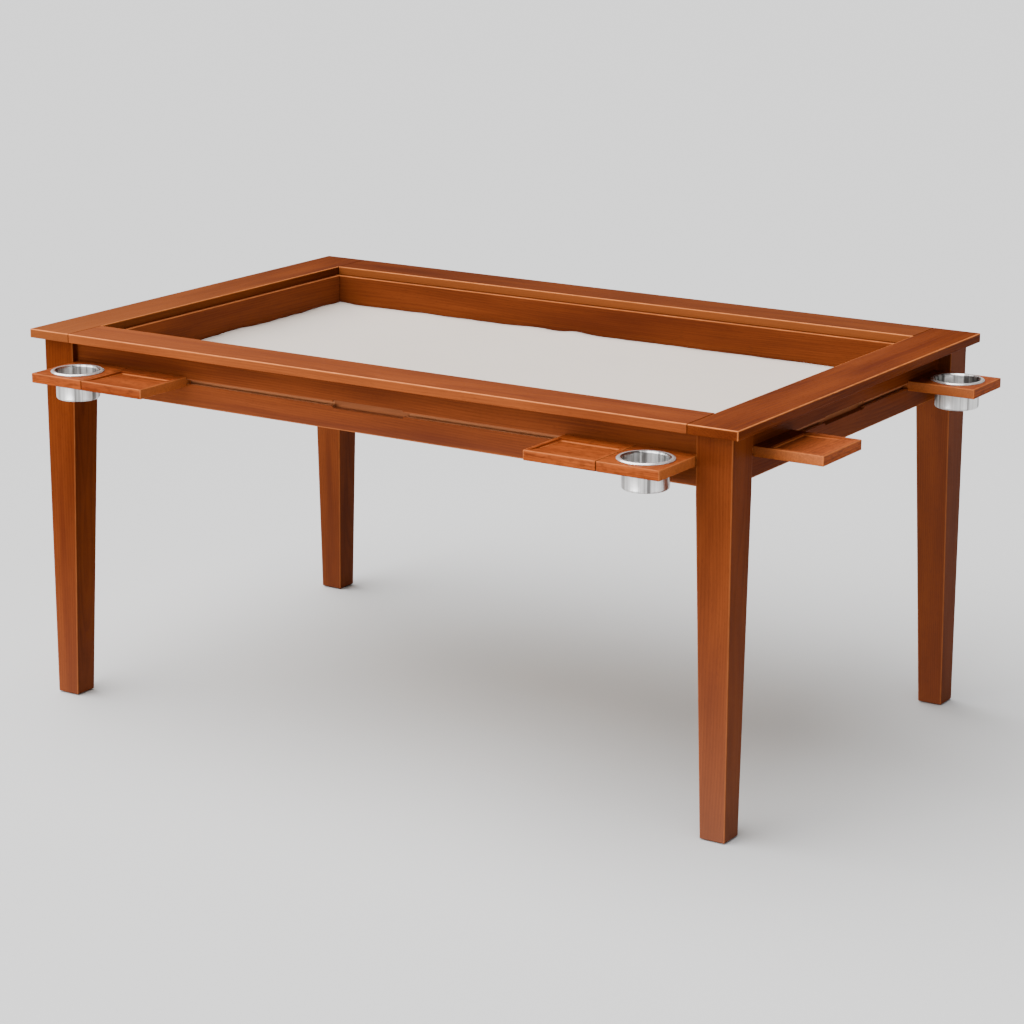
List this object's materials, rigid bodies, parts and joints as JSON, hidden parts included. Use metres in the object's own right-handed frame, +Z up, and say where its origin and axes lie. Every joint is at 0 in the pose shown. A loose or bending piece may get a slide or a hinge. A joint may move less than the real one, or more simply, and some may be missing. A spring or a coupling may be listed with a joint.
{
  "type": "gaming table",
  "caption": "Wooden games table with a sunken play area lined with a loose cloth mat, tapered legs, and cup holders and scooped trays that slide along T-grooves in the aprons",
  "frame": {"origin": "on the floor, under the middle of the footprint with the accessories at rest", "axes": "+X along the table, to the right seen from the front, which carries two pairs of accessories; +Y to the back; +Z up"},
  "size_m": [1.692, 1.103, 0.762],
  "materials": {
    "stained_wood": "reddish brown stain under satin lacquer",
    "bearer_wood": "planed, unstained",
    "panel_wood": "birch plywood, unstained",
    "dowel_wood": "fluted beech, unstained",
    "mat_cloth": "fine woven cloth on a thin rubber back",
    "cup_steel": "brushed around the cup, lip polished",
    "fixing_steel": "bright zinc",
    "insert_brass": "plain turned",
    "glide_nylon": "moulded"
  },
  "bodies": {
    "table": {"leg_front_left": "stained_wood", "leg_front_right": "stained_wood", "leg_back_right": "stained_wood", "leg_back_left": "stained_wood", "leg_glides": "glide_nylon", "apron_front": "stained_wood", "apron_back": "stained_wood", "apron_right": "stained_wood", "apron_left": "stained_wood", "rim_front": "stained_wood", "rim_back": "stained_wood", "rim_right": "stained_wood", "rim_left": "stained_wood", "wall_front": "stained_wood", "wall_back": "stained_wood", "wall_right": "stained_wood", "wall_left": "stained_wood", "bearer_front": "bearer_wood", "bearer_back": "bearer_wood", "bearer_right": "bearer_wood", "bearer_left": "bearer_wood", "cross_bearer_left": "bearer_wood", "cross_bearer_right": "bearer_wood", "play_panel": "panel_wood", "play_mat": "mat_cloth", "apron_dowels": "dowel_wood", "rim_dowels": "dowel_wood", "leg_bolts": "fixing_steel", "leg_bolt_washers": "fixing_steel", "leg_inserts": "insert_brass", "rim_brackets": "fixing_steel", "bracket_screws": "fixing_steel", "bearer_screws": "fixing_steel"},
    "cup_plate_front_left": {"cup_plate_front_left": "stained_wood"},
    "cup_front_left": {"cup_front_left": "cup_steel"},
    "tray_front_left": {"tray_front_left": "stained_wood"},
    "cup_plate_front_right": {"cup_plate_front_right": "stained_wood"},
    "cup_front_right": {"cup_front_right": "cup_steel"},
    "tray_front_right": {"tray_front_right": "stained_wood"},
    "cup_plate_end": {"cup_plate_end": "stained_wood"},
    "cup_end": {"cup_end": "cup_steel"},
    "tray_end": {"tray_end": "stained_wood"}
  },
  "joints": [
    {"name": "cup_plate_front_left_slide", "type": "slide", "parent": "table", "child": "cup_plate_front_left", "axis": [1, 0, 0], "range_m": [0, 0.43]},
    {"name": "tray_front_left_slide", "type": "slide", "parent": "table", "child": "tray_front_left", "axis": [1, 0, 0], "range_m": [0, 0.43]},
    {"name": "cup_plate_front_right_slide", "type": "slide", "parent": "table", "child": "cup_plate_front_right", "axis": [-1, 0, 0], "range_m": [0, 0.43]},
    {"name": "tray_front_right_slide", "type": "slide", "parent": "table", "child": "tray_front_right", "axis": [-1, 0, 0], "range_m": [0, 0.43]},
    {"name": "cup_plate_end_slide", "type": "slide", "parent": "table", "child": "cup_plate_end", "axis": [0, -1, 0], "range_m": [-0.01, 0.264]},
    {"name": "tray_end_slide", "type": "slide", "parent": "table", "child": "tray_end", "axis": [0, 1, 0], "range_m": [-0.045, 0.204]},
    {"name": "cup_front_left_lift", "type": "slide", "parent": "cup_plate_front_left", "child": "cup_front_left", "axis": [0, 0, 1], "range_m": [0, 0.038]},
    {"name": "cup_front_right_lift", "type": "slide", "parent": "cup_plate_front_right", "child": "cup_front_right", "axis": [0, 0, 1], "range_m": [0, 0.038]},
    {"name": "cup_end_lift", "type": "slide", "parent": "cup_plate_end", "child": "cup_end", "axis": [0, 0, 1], "range_m": [0, 0.038]}
  ],
  "couplings": [
    {"joint": "tray_front_left_slide", "follows": "cup_plate_front_left_slide", "ratio": 1},
    {"joint": "tray_front_right_slide", "follows": "cup_plate_front_right_slide", "ratio": 1}
  ]
}
